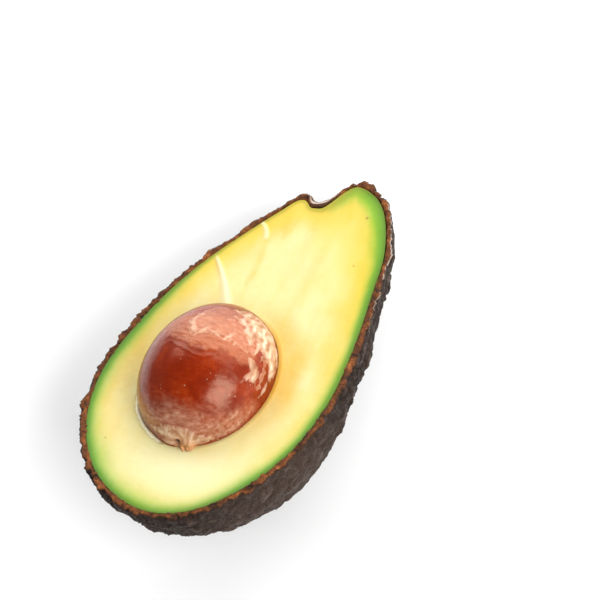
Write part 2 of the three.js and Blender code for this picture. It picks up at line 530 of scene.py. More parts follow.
# Turn in degrees, and how much orange from the seed's coat has stained the flesh beside it.
WARM_SIDE = [
    (-100, 0.0), (-84, 0.15), (-74, 0.45), (-62, 0.12), (-35, 0.4), (0, 1.0),
    (45, 0.9), (75, 0.35), (110, 0.1), (180, 0.12), (225, 0.0),
]
LIP_TURN, LIP_SPREAD = -129, 24  # degrees
LIP_EDGE = (1.35, 0.5)  # millimetres from the seed where the lip begins and is whole


def turn_of(points):
    return np.degrees(np.arctan2(points[:, 1], points[:, 0]))


def round_the_face(points, table, column):
    """A column of a table of turns, read smoothly round the cut face."""
    turns, values = [row[0] for row in table], [row[column] for row in table]
    return np.interp(turn_of(points), turns, values, period=360)


def ridge_mask(points, ridge):
    start, end = (np.array(point) for point in ridge["ends"])
    run = end - start
    length = np.linalg.norm(run)
    off = points[:, :2] - start
    share = off @ run / length**2
    aside = off @ np.array([-run[1], run[0]]) / length - 0.6 * np.sin(share * 3.1)  # it bends
    inside = smoothstep(-0.05, 0.1, share) * (1 - smoothstep(0.9, 1.08, share))
    narrow, wide = ridge["half_widths"]
    half_width = narrow + (wide - narrow) * np.clip(share, 0, 1)
    side = np.where(aside < 0, 1.0, 0.6)  # steeper on the side where the blade came from
    return inside * bell(aside, 0, half_width * side)


def lip_mask(face, seed_mm):
    wavy = 0.3 * wander(face, 2.5, octaves=2, shift=11.0)
    along = np.exp(-(((turn_of(face) - LIP_TURN) / LIP_SPREAD) ** 4))
    return along * smoothstep(*LIP_EDGE, seed_mm + wavy)


# %% Relief of the cut face
FACE_ROWS = 92
CROWDING = 0.6  # how much closer the rings are at both rims than halfway
LIP_HEIGHT = 0.28


def distance_to_outline(points, outline):
    """Shortest distance in the cut face from each point to a closed outline."""
    nearest = np.full(len(points), 1e9)
    for chunk in np.array_split(outline, 40):
        gap = np.linalg.norm(points[:, None, :2] - chunk[None, :, :2], axis=2).min(axis=1)
        nearest = np.minimum(nearest, gap)
    return nearest


def face_rings(hole, outer):
    """Rings of points from the rim of the seed's hollow to the skin."""
    reach = np.arange(FACE_ROWS + 1) / FACE_ROWS
    reach = reach - CROWDING * np.sin(2 * np.pi * reach) / (2 * np.pi)
    return np.vstack([hole * (1 - share) + outer * share for share in reach])


def face_height(face, skin_mm, seed_mm, ridges, lip):
    height = 0.14 * wander(face, 14.0, shift=1.0) + 0.05 * wander(face, 3.0, octaves=2, shift=2.0)
    for ridge, mask in zip(RIDGES, ridges):
        height += ridge["height"] * mask
    height *= smoothstep(0.0, 1.2, skin_mm)
    return height + LIP_HEIGHT * lip * smoothstep(0.0, 0.5, seed_mm) + 0.1 * bell(seed_mm, 0.9, 0.6)


# %% [markdown]
# ## The whole flesh
# Only the cut face and the lip of the seed's hollow show. The hollow and the back, hidden by
# the seed and the skin, are coarse rings: they only close the piece, and a fine mesh there
# would be wasted.

# %% Shape the flesh
FLESH_COLUMNS = 640
HOLLOW_ROWS = 8
BACK_ROWS = 8
SEED_GAP = 0.02  # between the seed and the flesh, in the cut face
MEETS_SKIN = 0.22  # how far the flesh is let out to close the fitting gap to the skin
DEEP_MM = 12.0  # this far from the skin pulp is plain; so is the pulp in the hollow


def shape_flesh():
    azimuth = even_azimuths(flesh_out, np.arange(FLESH_COLUMNS) / FLESH_COLUMNS)
    level = directions(azimuth, 0 * azimuth, -1)
    outer = level * (read(flesh_out, azimuth, 0) + MEETS_SKIN)[:, None]
    hole = level * (read(seed_above, azimuth, 0) + SEED_GAP)[:, None]
    face = face_rings(hole, outer)
    skin_mm = distance_to_outline(face, outer)
    seed_mm = distance_to_outline(face, hole)
    ridges = [ridge_mask(face, ridge) for ridge in RIDGES]
    lip = lip_mask(face, seed_mm)
    face[:, 2] = face_height(face, skin_mm, seed_mm, ridges, lip)

    back_dips = even_dips(flesh_out)
    back = rings_to_pole(flesh_out + MEETS_SKIN, back_dips, azimuth, BACK_ROWS)
    hollow_table = seed_below + SEED_GAP
    hollow_dips = even_dips(hollow_table)
    hollow = rings_to_pole(hollow_table, hollow_dips, azimuth, HOLLOW_ROWS)
    poles = [pole_of(flesh_out, back_dips), pole_of(hollow_table, hollow_dips)]
    points = np.vstack([face, *back, *hollow, *poles])

    inner_rim = np.arange(FLESH_COLUMNS)
    outer_rim = inner_rim + len(face) - FLESH_COLUMNS
    behind = len(back) * FLESH_COLUMNS
    faces, _ = ring_bands(inner_rim, FACE_ROWS, FLESH_COLUMNS)
    back_bands, back_last = ring_bands(outer_rim, BACK_ROWS - 1, len(face))
    hollow_bands, hollow_last = ring_bands(inner_rim, HOLLOW_ROWS - 1, len(face) + behind)
    faces += back_bands + hollow_bands
    faces += fan(back_last, len(points) - 2) + fan(hollow_last, len(points) - 1)

    blotch = 1 + 0.22 * wander(points, 7.0, shift=3.0)
    attributes = {
        "skin_mm": padded(np.concatenate([skin_mm, np.zeros(behind)]), points, DEEP_MM),
        "seed_mm": padded(seed_mm, points),
        "ridge": padded(np.max(ridges, axis=0), points),
        "lip": padded(lip, points),
        "solid_mm": round_the_face(points, GREEN_EDGE, 1) * blotch,
        "fade_mm": round_the_face(points, GREEN_EDGE, 2) * blotch,
        "olive": round_the_face(points, GREEN_EDGE, 3),
        "warm_side": round_the_face(points, WARM_SIDE, 1),
        "across_mm": points[:, 0],
        "neck_mm": points[:, 1],
    }
    return make_piece("pulp", points, faces, attributes, "flesh")


pulp = shape_flesh()

# %% [markdown]
# ## Brush strokes on the seed
# The seed is a smooth egg in a thin papery coat. Where the coat has torn away the glossy brown
# seed shows. Over the top a thin film still clings, and along one side and round the nub at
# the wide end the coat is thick, pale and ragged. Painting by hand would work, but a stroke
# can be written down: a path on the egg with a width at each place, made ragged with noise.
#
# Each place is (turn, height, width): degrees round the seed from across towards the neck,
# degrees up from the cut face, and the stroke's width in millimetres.

# %% Strokes
FILM_STROKES = [
    [(113, 72, 2.0), (98, 70, 5.0), (84, 67, 8.5), (66, 56, 10.5), (50, 48, 11.5), (36, 40, 11.0)],
    [(14, 22, 1.2), (2, 20, 1.4), (-12, 17, 0.8)],
]
# A soft bloom below the film, partly a painted sheen where the back light reflects on the seed's top,
# and a haze round the wide end.
BLOOM_AND_SHEEN_STROKES = [
    [(152, 50, 5.0), (140, 60, 8.0), (118, 72, 10.0), (60, 74, 12.0), (30, 58, 11.0), (14, 44, 8.0)],
]
HAZE_STROKES = [
    [(-160, 10, 2.0), (-135, 13, 5.0), (-112, 16, 8.0), (-92, 18, 11.0)],
    [(-92, 18, 11.0), (-70, 16, 9.0), (-48, 10, 6.0), (-28, 8, 3.0)],
]
PAPER_STROKES = [
    [(72, 38, 1.2), (62, 32, 3.6), (48, 27, 6.6), (38, 22, 8.6), (29, 17, 8.2), (21, 13, 5.6)],
    [(21, 13, 5.6), (12, 11, 2.6), (2, 10, 1.2)],
    [(66, 28, 1.5), (55, 20, 3.6), (44, 14, 4.6), (34, 9, 4.2), (25, 6, 3.4), (16, 5, 2.0), (8, 5, 0.8)],
    [(60, 44, 1.2), (46, 38, 2.6), (33, 38, 2.6), (24, 38, 1.0)],
    [(36, 26, 2.6), (25, 31, 2.2), (15, 33, 0.9)],
    [(28, 18, 3.0), (18, 23, 2.0), (10, 27, 0.8)],
    [(5, 38, 1.0), (1, 32, 3.0), (-5, 28, 3.6), (-10, 27, 2.8)],
    [(-4, 30, 2.0), (-12, 32, 1.8), (-19, 33, 0.8)],
    [(-6, 27, 2.2), (-12, 22, 1.6), (-15, 19, 0.7)],
    [(22, 8, 1.0), (6, 10, 1.0), (-8, 10, 0.8), (-16, 11, 0.4)],
    [(-114, 9, 0.6), (-104, 11, 2.2), (-95, 12, 3.6), (-86, 10, 4.0)],
    [(-86, 10, 4.0), (-77, 7, 3.4), (-68, 5, 2.0), (-57, 3, 0.8)],
    [(-100, 5, 1.6), (-90, 4, 3.0), (-80, 3, 3.0), (-72, 3, 1.4)],
    [(-110, 10, 0.8), (-100, 14, 2.0), (-91, 16, 2.4), (-84, 14, 2.2), (-80, 9, 1.8), (-82, 3, 1.4)],
    [(-58, 3, 1.0), (-55, 3, 1.4)],
]
# The film's torn edge is folded back in a pale lip; thin pale lines sweep round the wide end.
FOLD_STROKES = [
    [(98, 58, 0.3), (105, 62, 0.6), (112, 68, 1.0), (107, 76, 1.2), (82, 83, 0.8), (67, 79, 0.6)],
    [(67, 79, 0.6), (61, 73, 0.5), (48, 72, 0.4), (39, 70, 0.4), (25, 66, 0.4), (20, 63, 0.3)],
    [(20, 63, 0.3), (27, 59, 0.3), (33, 53, 0.2)],
    [(-126, 13, 0.2), (-111, 17, 0.4), (-99, 23, 0.5), (-86, 30, 0.3), (-79, 29, 0.1)],
    [(-31, 8, 0.1), (-40, 6, 0.3), (-48, 5, 0.6), (-58, 6, 0.9), (-67, 6, 0.7)],
    [(-35, 17, 0.1), (-45, 14, 0.2), (-55, 14, 0.4), (-65, 15, 0.4), (-71, 13, 0.3)],
]
# Wrinkles in the coat below that fold.
WRINKLE_STROKES = [
    [(-175, 69, 0.2), (-141, 78, 0.4), (-97, 80, 0.4), (-55, 74, 0.5), (-39, 69, 0.5), (-19, 66, 0.3)],
    [(179, 79, 0.3), (-84, 85, 0.5), (-34, 77, 0.5), (-13, 71, 0.5), (-1, 61, 0.3)],
    [(8, 65, 0.3), (7, 55, 0.5), (12, 45, 0.5), (20, 40, 0.3)],
    [(160, 66, 0.3), (150, 74, 0.5), (140, 82, 0.5), (20, 84, 0.5), (5, 74, 0.3)],
]
NUB, NUB_RADIUS = (-83, 2), 1.6
HOLE, HOLE_RADIUS = (-90, 5), 0.6  # beside the nub
SEED_RADIUS = 17.0  # near enough to turn an angle on the seed into millimetres


# %% Read the strokes
def way_to(turn, height):
    turn, height = math.radians(turn), math.radians(height)
    level = math.cos(height)
    return np.array([math.cos(turn) * level, math.sin(turn) * level, math.sin(height)])


def stroke_field(ways, strokes):
    """Millimetres inside the nearest stroke's edge; negative outside every stroke."""
    field = np.full(len(ways), -99.0)
    for stroke in strokes:
        for (turn, height, width), (turn_b, height_b, width_b) in zip(stroke, stroke[1:]):
            start, end = way_to(turn, height), way_to(turn_b, height_b)
            run = end - start
            share = np.clip((ways - start) @ run / (run @ run), 0, 1)
            gap = np.linalg.norm(ways - start - share[:, None] * run, axis=1) * SEED_RADIUS
            half_width = (width * (1 - share) + width_b * share) / 2
            field = np.maximum(field, half_width - gap)
    return field


def spot(ways, place, radius):
    return bell(np.linalg.norm(ways - way_to(*place), axis=1) * SEED_RADIUS, 0, radius)


def fan_round_nub(ways):
    """The angle round the nub and the distance from it, for fibres that gather there."""
    nub = way_to(*NUB)
    side = np.cross(nub, [0.0, 0.0, 1.0])
    side /= np.linalg.norm(side)
    aside, above = ways @ side, ways @ np.cross(side, nub)
    return np.arctan2(above, aside), np.linalg.norm(ways - nub, axis=1) * SEED_RADIUS


# %% [markdown]
# ## The seed and its coat
# Dry coat is fibrous: its fibres gather at the nub and run lengthwise elsewhere, and it tears
# along them. Separate leaves of coat would be truer, but they would be thinner than a safe
# mesh. Instead the strokes lift the seed's own surface a little, and later choose between the
# finishes. The top half is an even fine sheet; the half in the hollow is coarse rings.

# %% Lay the coat
PAPER_LIFT, FILM_LIFT, FOLD_LIFT, PLEAT_LIFT, FIBRE_LIFT = 0.13, 0.10, 0.12, 0.05, 0.12
NUB_HEIGHT, HOLE_DEPTH = 1.1, 0.9
GATHER_MM = 5.0  # how far from the nub the fibres gather


def coat_grain(points, ways):
    """Fibres or streaks along the coat, ragged noise, and how near the nub each point is."""
    about_nub, nub_mm = fan_round_nub(ways)
    gathered = np.stack([3.2 * about_nub, 0.35 * nub_mm, 0 * nub_mm], axis=-1)
    fibres = wander(gathered, 1.0, octaves=3, shift=7.0)
    streaks = wander(points * [1.0, 0.35, 0.6], 0.9, octaves=3, shift=5.0)
    ragged = 0.7 * wander(points, 3.4, shift=3.0) + 0.75 * wander(points, 1.5, octaves=3, shift=9.0)
    return fibres, streaks, ragged, bell(nub_mm, 0, GATHER_MM)


def lay_coat(points, ways):
    """The height that the coat adds, in millimetres, and the masks that its finish needs."""
    fibres, streaks, ragged, near_nub = coat_grain(points, ways)
    torn = ragged + 0.6 * streaks * (1 - near_nub) + 1.3 * fibres * near_nub
    frayed = 0.55 * wander(points, 1.3, octaves=3, shift=14.0) + 0.25 * ragged
    paper = stroke_field(ways, PAPER_STROKES) + 0.65 * torn
    film = stroke_field(ways, FILM_STROKES) + ragged + 0.35 * streaks
    bloom_and_sheen = smoothstep(-1.0, 1.4, stroke_field(ways, BLOOM_AND_SHEEN_STROKES) + torn)
    haze = smoothstep(-2.5, 4.0, stroke_field(ways, HAZE_STROKES) + 1.1 * torn)
    fold = smoothstep(-0.45, 0.35, stroke_field(ways, FOLD_STROKES) + frayed)
    fold = fold * np.where(ways[:, 2] > 0.5, 1.0, 0.5)  # fainter low down
    pleat = smoothstep(-0.45, 0.25, stroke_field(ways, WRINKLE_STROKES) + 0.6 * frayed)
    wrinkle = wander(points * [0.4, 1.0, 1.0], 1.1, octaves=3, shift=6.0)
    nub, hole = spot(ways, NUB, NUB_RADIUS), spot(ways, HOLE, HOLE_RADIUS)
    strands = np.where(near_nub > 0.4, fibres, streaks)
    height = np.maximum(
        PAPER_LIFT * smoothstep(-0.3, 0.6, paper) * (1 + 0.6 * strands),
        FILM_LIFT * smoothstep(-0.03, 0.15, film) * (1 + 0.5 * wrinkle),
    )
    height += 0.10 * wander(points, 9.0, shift=4.0) + 0.03 * wander(points, 3.0, octaves=2, shift=8.0)
    height += (0.02 + 0.08 * bloom_and_sheen) * wrinkle + FOLD_LIFT * fold + PLEAT_LIFT * pleat
    height += FIBRE_LIFT * near_nub * np.maximum(fibres, 0) - HOLE_DEPTH * hole
    knobbly = NUB_HEIGHT + 0.9 * wander(points, 1.1, octaves=3, shift=2.5)
    height += smoothstep(0.15, 0.75, nub) * knobbly
    masks = {"paper": paper, "film": film, "bloom_and_sheen": bloom_and_sheen, "haze": haze, "fold": fold}
    return height, masks | {"fibres": 0.5 + strands / 1.6, "nub": nub, "hole": hole}


# %% Shape the seed
SEED_RINGS = 138
UNDER_ROWS = 12


def shape_seed():
    out, around, quads, starts = square_rings(SEED_RINGS)
    azimuth = even_azimuths(seed_above, around)
    top = surface(seed_above, even_dips(seed_above), azimuth, 1 - out, side=1)
    rim = np.arange(starts[-1], len(top))
    under_dips = even_dips(seed_below)
    under = rings_to_pole(seed_below, under_dips, azimuth[rim], UNDER_ROWS)
    points = np.vstack([top, *under, pole_of(seed_below, under_dips)])
    bands, last = ring_bands(rim, UNDER_ROWS - 1, len(top))
    faces = quads + bands + fan(last, len(points) - 1)
    ways = points / np.linalg.norm(points, axis=1)[:, None]
    height, masks = lay_coat(points, ways)
    return make_piece("seed_in_coat", points + ways * height[:, None], faces, masks, "seed")


seed = shape_seed()

# %% [markdown]
# ## Short words for nodes
# A finish is a tree of nodes, and spelling out each node buries the idea. This palette adds one
# node for each word, links or sets what it is given, and hands back the output, so that a
# finish reads like a recipe. Plain numbers and colours go on the sockets themselves.

# %% The palette
def rgba(colour):
    """A colour from one grey number, or from red, green and blue."""
    return (colour,) * 3 + (1,) if isinstance(colour, float) else (*colour, 1)


class Palette:
    def __init__(self, tree):
        self.tree = tree

    def join(self, source, target):
        """Links a socket, or sets a plain value."""
        if isinstance(source, bpy.types.NodeSocket):
            self.tree.links.new(source, target)
        else:
            target.default_value = rgba(source) if target.type == "RGBA" else source

    def add(self, kind, given, **settings):
        """A node with its settings, and its inputs by name or by number."""
        node = self.tree.nodes.new(kind)
        for label, value in settings.items():
            setattr(node, label, value)
        for label, value in given.items():
            self.join(value, node.inputs[label])
        return node

    def maths(self, operation, *values, clamp=False):
        given = dict(enumerate(values))
        return self.add("ShaderNodeMath", given, operation=operation, use_clamp=clamp).outputs[0]

    def times(self, first, second):
        return self.maths("MULTIPLY", first, second)

    def plus(self, first, second, clamp=False):
        return self.maths("ADD", first, second, clamp=clamp)

    def scaled(self, value, factor, shift, clamp=False):
        """The value times a factor, then shifted."""
        return self.maths("MULTIPLY_ADD", value, factor, shift, clamp=clamp)

    def mix(self, share, first, second, blend="MIX"):
        given = {"Factor": share, "A": first, "B": second}
        return self.add("ShaderNodeMix", given, data_type="RGBA", blend_type=blend).outputs["Result"]

    def ramp(self, value, stops, interpolation="LINEAR"):
        """A colour ramp from (place, colour) stops; a colour may be one grey number."""
        node = self.add("ShaderNodeValToRGB", {"Fac": value})
        node.color_ramp.interpolation = interpolation
        elements = node.color_ramp.elements
        for index, (place, colour) in enumerate(stops):
            element = elements[index] if index < 2 else elements.new(place)
            element.position, element.color = place, rgba(colour)
        return node.outputs["Color"]

    def stored(self, label):
        """A number that was stored on the vertices."""
        return self.add("ShaderNodeAttribute", {}, attribute_name=label).outputs["Fac"]

    def place_mm(self):
        """Where a point is, in millimetres."""
        where = self.add("ShaderNodeTexCoord", {}).outputs["Object"]
        given = {0: where, "Scale": 1 / MM}
        return self.add("ShaderNodeVectorMath", given, operation="SCALE").outputs[0]

    def bump(self, height, distance, strength):
        given = {"Height": height, "Distance": distance, "Strength": strength}
        return self.add("ShaderNodeBump", given).outputs["Normal"]

    def effect(self, group, **given):
        """A shared group, placed in this tree with its own values."""
        return self.add("ShaderNodeGroup", given, node_tree=group).outputs


def dress(piece, name, recipe):
    """Gives a piece a material; the recipe says what goes into its shader's own sockets."""
    material = bpy.data.materials.new(name)
    material.use_nodes = True
    material.node_tree.nodes.clear()
    paint = Palette(material.node_tree)
    shader = paint.add("ShaderNodeBsdfPrincipled", recipe(paint))
    paint.add("ShaderNodeOutputMaterial", {"Surface": shader.outputs["BSDF"]})
    piece.data.materials.append(material)
    print("the", name, "uses", len(material.node_tree.nodes), "nodes")


# %% [markdown]
# ## Shared effects
# Nothing on a fruit is one flat colour. Every finish here is mottled by uneven patches, and
# two are speckled by fine grain. Both could be copied into each material, but a node group is
# built once and placed with its own values. It puts out only a mask or a normal; the shader
# stays in each material.

# %% Build the shared groups
FLOAT, VECTOR = "NodeSocketFloat", "NodeSocketVector"


def new_group(name, inputs, outputs):
    group = bpy.data.node_groups.new(name, "ShaderNodeTree")
    for label, kind, default in inputs:
        group.interface.new_socket(label, in_out="INPUT", socket_type=kind).default_value = default
    for label, kind in outputs:
        group.interface.new_socket(label, in_out="OUTPUT", socket_type=kind)
    given, made = group.nodes.new("NodeGroupInput"), group.nodes.new("NodeGroupOutput")
    return Palette(group), given.outputs, made.inputs


def build_patches():
    """Soft patches of a size in millimetres, longer along an axis whose stretch is under 1."""
    inputs = [("Size", FLOAT, 1.0), ("Detail", FLOAT, 2.0), ("Roughness", FLOAT, 0.5)]
    inputs += [("Distortion", FLOAT, 0.0), ("Stretch", VECTOR, (1.0, 1.0, 1.0))]
    paint, given, made = new_group("uneven patches", inputs, [("Mask", FLOAT)])
    stretched = {0: paint.place_mm(), 1: given["Stretch"]}
    where = paint.add("ShaderNodeVectorMath", stretched, operation="MULTIPLY").outputs[0]
    look = {label: given[label] for label in ("Detail", "Roughness", "Distortion")}
    look |= {"Vector": where, "Scale": paint.maths("DIVIDE", 1.0, given["Size"])}
    paint.join(paint.add("ShaderNodeTexNoise", look).outputs["Fac"], made["Mask"])
    return paint.tree


def build_grain():
    """Fine grain: a mask of specks, and the same specks as relief."""
    inputs = [("Size", FLOAT, 0.5), ("Contrast", FLOAT, 1.0), ("Relief", FLOAT, 0.1)]
    paint, given, made = new_group("fine grain", inputs, [("Mask", FLOAT), ("Normal", VECTOR)])
    look = {"Vector": paint.place_mm(), "Scale": paint.maths("DIVIDE", 1.0, given["Size"])}
    look |= {"Detail": 4.0, "Roughness": 0.6}
    specks = paint.add("ShaderNodeTexNoise", look).outputs["Fac"]
    centred = paint.maths("SUBTRACT", specks, 0.5)
    paint.join(paint.scaled(centred, given["Contrast"], 0.5, clamp=True), made["Mask"])
    paint.join(paint.bump(specks, MM, given["Relief"]), made["Normal"])
    return paint.tree


PATCHES = build_patches()
GRAIN = build_grain()


def patches(paint, size, **given):
    return paint.effect(PATCHES, Size=size, **given)["Mask"]


print("shared groups:", PATCHES.name, "and", GRAIN.name)

# %% [markdown]
# ## The finish of the skin
# Ripe skin is purplish brown, with a dull waxy bloom on some of its pebbles and a hint of
# olive near the neck. The grooves between the pebbles are painted near black as shade, and
# the pebble tops lighter as a painted sheen. One colour with a bump would look like rubber,
# so the colour follows the real pebbles: each one's height is on the vertices.

# %% Colours of the skin
# Both ramps run by pebble height: the grooves are painted darker as shade and the pebble tops lighter as
# a painted sheen.
PLUM = [(0.1, (0.003, 0.001, 0.0005)), (0.5, (0.010, 0.004, 0.002)), (0.9, (0.032, 0.014, 0.008))]
BROWN = [(0.1, (0.007, 0.003, 0.001)), (0.5, (0.030, 0.013, 0.007)), (0.9, (0.090, 0.044, 0.024))]
OLIVE_SKIN = (0.060, 0.062, 0.018)
PAINTED_SHEEN = (0.065, 0.040, 0.029)
WAX = (0.115, 0.090, 0.075)


def pebble_colour(paint, relief, streak):
    patch = patches(paint, 8.0, Detail=3.0)
    browner = paint.scaled(streak, 0.9, paint.scaled(patch, 1.4, -0.75), clamp=True)
    colour = paint.mix(browner, paint.ramp(relief, PLUM), paint.ramp(relief, BROWN))
    to_neck = paint.scaled(paint.stored("neck_mm"), 0.012, paint.scaled(patch, 1.0, -0.75))
    colour = paint.mix(paint.ramp(to_neck, [(0.3, 0.0), (0.62, 0.55)]), colour, OLIVE_SKIN)
    # A painted sheen: the skin's colour is lightened where the belly faces the light.
    sheen = paint.times(paint.stored("satin"), paint.scaled(streak, 0.9, 0.15))
    colour = paint.mix(sheen, colour, PAINTED_SHEEN)
    waxy = paint.ramp(patches(paint, 6.0, Detail=3.0, Roughness=0.6), [(0.44, 0.0), (0.58, 1.0)])
    on_tops = paint.ramp(relief, [(0.42, 0.0), (0.85, 0.8)])
    return paint.mix(paint.times(waxy, on_tops), colour, WAX)


# %% [markdown]
# ## The cut edge and the pit
# The cut edge is a rust brown crust with dark pits and orange grains. Near the neck, a thin
# broken pale line is painted along its outer lip as a highlight, where light catches the edge.
# The lining of the stem pit is a pale line between two brown ones. All of them follow one
# number on the vertices: the share of the way over the cut.

# %% Colours of the cut edge
RUST = [
    (0.30, (0.014, 0.004, 0.002)),
    (0.38, (0.08, 0.024, 0.005)),
    (0.54, (0.18, 0.052, 0.011)),
    (0.70, (0.36, 0.12, 0.027)),
]
LINING = [
    (0.14, (0.07, 0.03, 0.015)),
    (0.26, (0.62, 0.50, 0.42)),
    (0.40, (0.66, 0.56, 0.48)),
    (0.54, (0.10, 0.035, 0.012)),
    (1.0, (0.05, 0.02, 0.008)),
]
CORK = [(0.3, (0.05, 0.026, 0.013)), (0.7, (0.22, 0.14, 0.08))]
DARK_LINE = (0.030, 0.014, 0.008)
PAINTED_EDGE_HIGHLIGHT = (0.46, 0.38, 0.32)


def cut_edge_colour(paint, pit):
    over = paint.stored("over_cut")
    clumps = paint.scaled(patches(paint, 3.5), 0.6, -0.32)
    crumbs = paint.plus(patches(paint, 1.3, Detail=5.0, Roughness=0.7), clumps)
    wavy = paint.plus(over, paint.scaled(patches(paint, 1.2, Detail=3.0), 0.7, -0.35))
    crust = paint.ramp(wavy, [(0.0, 0.0), (0.25, 1.0)])
    colour = paint.mix(crust, DARK_LINE, paint.ramp(crumbs, RUST))
    # A painted highlight: a broken pale line along the outer lip of the cut near the neck, where light
    # catches the edge.
    edge_highlight = paint.ramp(over, [(0.02, 0.0), (0.07, 1.0), (0.15, 1.0), (0.24, 0.0)])
    at_neck = paint.ramp(paint.times(paint.stored("neck_mm"), 0.015), [(0.3, 0.0), (0.6, 1.0)])
    broken = paint.ramp(patches(paint, 2.4, Detail=3.0), [(0.42, 0.0), (0.52, 0.8)])
    edge_highlight = paint.times(paint.times(edge_highlight, at_neck), broken)
    colour = paint.mix(edge_highlight, colour, PAINTED_EDGE_HIGHLIGHT)
    return paint.mix(pit, colour, paint.ramp(over, LINING))


# %% Paint the skin
CUT_ROUGHNESS = 0.62


def skin_finish(paint):
    speck = paint.effect(GRAIN, Size=0.4, Contrast=2.2, Relief=0.2)["Mask"]
    streak = patches(paint, 1.1, Detail=4.0, Roughness=0.6, Stretch=(1.0, 0.3, 1.0))
    relief = paint.scaled(paint.stored("pebble"), 0.75, paint.times(speck, 0.25))
    pit = paint.ramp(paint.stored("pit"), [(0.35, 0.0), (0.6, 1.0)])
    cut = paint.ramp(paint.stored("cut"), [(0.35, 0.0), (0.7, 1.0)])
    outside = paint.mix(pit, pebble_colour(paint, relief, streak), paint.ramp(streak, CORK))
    worn = paint.ramp(relief, [(0.1, 0.75), (0.5, 0.52), (0.9, 0.36)])
    rough_height = paint.plus(streak, paint.times(speck, 0.5))
    return {
        "Base Color": paint.mix(cut, outside, cut_edge_colour(paint, pit)),
        "Roughness": paint.mix(cut, worn, CUT_ROUGHNESS),
        "Normal": paint.bump(rough_height, 0.7 * MM, 0.8),
        "Specular IOR Level": 0.27,
        "Specular Tint": (1.0, 0.84, 0.74),
    }


dress(peel, "pebbled skin", skin_finish)

# %% [markdown]
# ## The colour of ripe pulp
# Pulp is a buttery cream, more golden next to the skin and towards the neck, stained orange
# beside the seed's coat, with pale places and darker smudges. In front of the seed's wide end
# a whitish patch is painted in as light, lifting the shade that the seed casts there. A painted
# texture could hold them, but it would be hard to change: here each mark is a soft oval on the
# cut face, given by its place and size in millimetres.

# %% Colours of the pulp
PALE_PULP, GOLD_PULP = (0.66, 0.59, 0.29), (0.65, 0.44, 0.07)
SEED_STAIN = (0.62, 0.33, 0.04)
# Painted light: a whitish patch in front of the seed's wide end, lifting the shade that the seed casts
# there.
PAINTED_LIGHT = (0.80, 0.76, 0.48)
DARK_YELLOW = (0.62, 0.36, 0.025)
STAIN_MM = 9.0  # how far from the seed its stain reaches
# Marks on the cut face: place (across, neckward), half sizes and share.
GOLDEN_PLACE = ((3.2, 50.0), (1.3, 5.0))
PAINTED_LIGHT_PLACE = ((4.0, -26.0), (15.0, 7.0))
PALE_PLACES = [((8.0, 40.0), (9.0, 10.0), 0.6), ((3.0, -28.0), (20.0, 8.0), 1.0)]
SMUDGES = [
    ((1.5, 51.0), (1.6, 5.0), 1.0),
    ((-3.0, 47.0), (3.0, 3.0), 0.6),
    ((9.5, 49.0), (1.5, 7.0), 0.6),
    ((-1.0, 34.0), (1.0, 8.0), 0.7),
    ((27.0, 42.0), (2.2, 16.0), 0.9),
    ((29.0, 22.0), (1.8, 14.0), 0.5),
    ((18.0, 55.0), (3.0, 3.0), 0.6),
    ((14.0, 40.0), (1.4, 5.0), 0.4),
    ((19.5, 5.0), (2.6, 9.0), 0.7),
    ((-22.0, -2.0), (2.5, 12.0), 0.4),
    ((13.0, 24.0), (1.6, 12.0), 0.45),
]


def oval(paint, place, half_sizes):
    """1 at a place on the cut face, falling off over its half sizes."""
    total = 0.0
    for label, middle, half_size in zip(("across_mm", "neck_mm"), place, half_sizes):
        off = paint.maths("SUBTRACT", paint.stored(label), middle)
        off = paint.maths("DIVIDE", off, half_size)
        total = paint.scaled(off, off, total)
    return paint.maths("POWER", math.exp(-1), total)


def butter_colour(paint, smear, neck_half):
    skin_share = paint.maths("DIVIDE", paint.stored("skin_mm"), DEEP_MM)
    near_skin = paint.ramp(skin_share, [(0.0, 1.0), (1.0, 0.0)], "EASE")
    golden = paint.times(near_skin, paint.scaled(neck_half, 0.5, 0.28))
    golden = paint.plus(golden, paint.scaled(neck_half, 0.12, 0.14))
    cloud = patches(paint, 11.0, Detail=3.0)
    uneven = paint.scaled(cloud, 0.9, paint.scaled(smear, 0.8, -0.85))
    golden = paint.plus(golden, uneven, clamp=True)
    golden = paint.plus(golden, oval(paint, *GOLDEN_PLACE), clamp=True)
    for place, half_sizes, share in PALE_PLACES:
        pale = paint.times(oval(paint, place, half_sizes), share)
        golden = paint.times(golden, paint.maths("SUBTRACT", 1.0, pale))
    colour = paint.mix(golden, PALE_PULP, GOLD_PULP)
    seed_share = paint.maths("DIVIDE", paint.stored("seed_mm"), STAIN_MM)
    blush = paint.ramp(seed_share, [(0.0, 1.0), (0.3, 0.6), (1.0, 0.0)], "EASE")
    colour = paint.mix(paint.times(blush, paint.stored("warm_side")), colour, SEED_STAIN)
    # The patch of painted light in front of the seed, over the seed's cast shade.
    colour = paint.mix(paint.times(oval(paint, *PAINTED_LIGHT_PLACE), 0.6), colour, PAINTED_LIGHT)
    for place, half_sizes, share in SMUDGES:
        stain = paint.times(oval(paint, place, half_sizes), share)
        stain = paint.times(stain, paint.scaled(smear, 2.0, -0.3))
        colour = paint.mix(stain, colour, DARK_YELLOW)
    return colour


# %% [markdown]
# ## The green edge and the small marks
# Under the skin pulp is dark green, then leaf green, then yellow, and each side of the fruit
# has its own widths. A ramp by distance from the skin does it, once the distance has been
# divided by the width that is on the vertices. Over it come the knife ridges, the pale lip
# beside the seed with a thin brown line, a painted shadow in the narrow gap round the seed,
# and a few bruised fibre ends.

